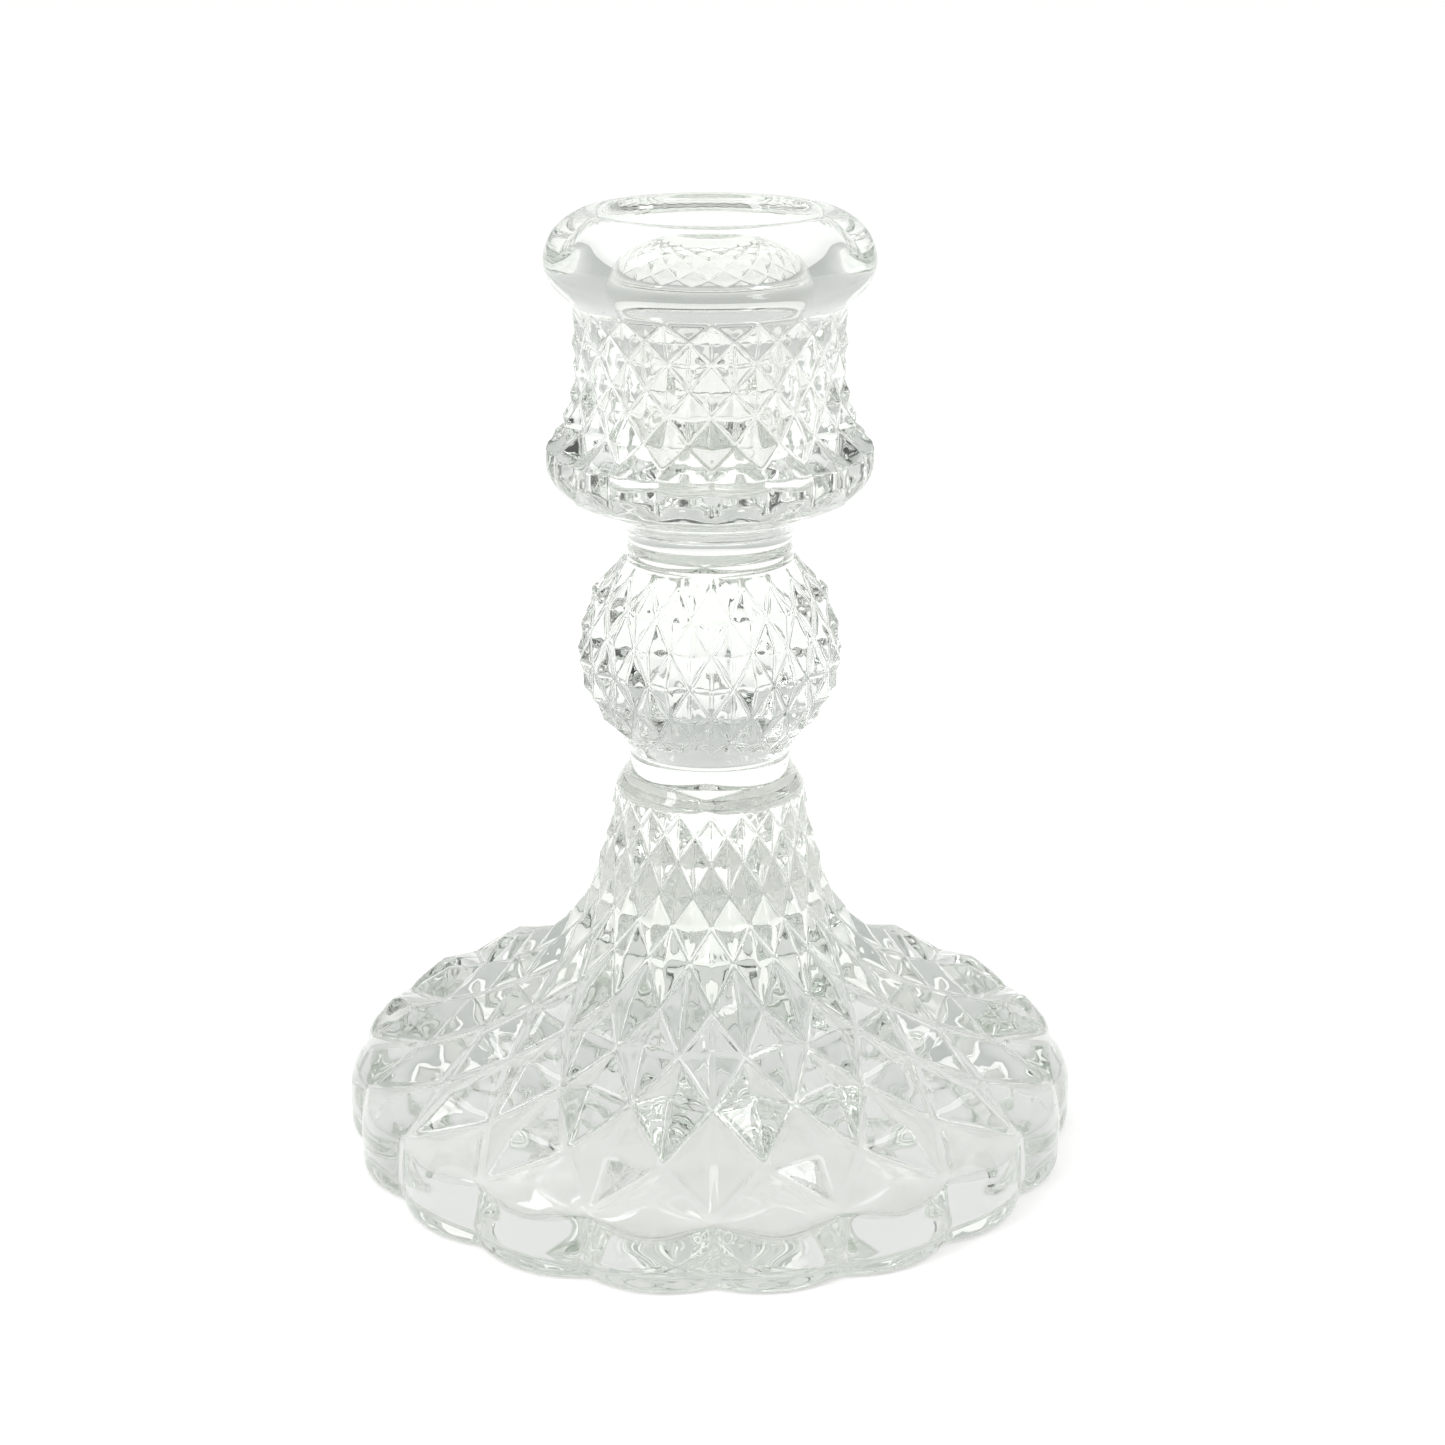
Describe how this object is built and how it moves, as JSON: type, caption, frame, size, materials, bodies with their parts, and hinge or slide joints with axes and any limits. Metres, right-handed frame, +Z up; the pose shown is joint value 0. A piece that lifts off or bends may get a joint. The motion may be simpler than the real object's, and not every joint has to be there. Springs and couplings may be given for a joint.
{
  "type": "glass candlestick",
  "caption": "Short clear pressed-glass candlestick with a flared scalloped foot, a diamond-cut ball stem and a round-lipped cup for a taper candle.",
  "frame": {"origin": "centre of the foot's underside, on the plane the candlestick stands on", "axes": "+Z up along the stem towards the candle; the pattern repeats all round, with two scallops of the foot meeting on -Y"},
  "size_m": [0.0848, 0.0845, 0.106],
  "materials": {
    "foot_glass": "clear pressed glass, fire polished",
    "lower_collar_glass": "clear pressed glass, fire polished",
    "ball_glass": "clear pressed glass, fire polished",
    "upper_collar_glass": "clear pressed glass, fire polished",
    "cup_glass": "clear pressed glass, fire polished",
    "rim_glass": "clear pressed glass, fire polished"
  },
  "bodies": {
    "root": {"foot": "foot_glass", "lower_collar": "lower_collar_glass", "ball_knop": "ball_glass", "upper_collar": "upper_collar_glass", "candle_cup": "cup_glass", "rim": "rim_glass"}
  },
  "joints": []
}
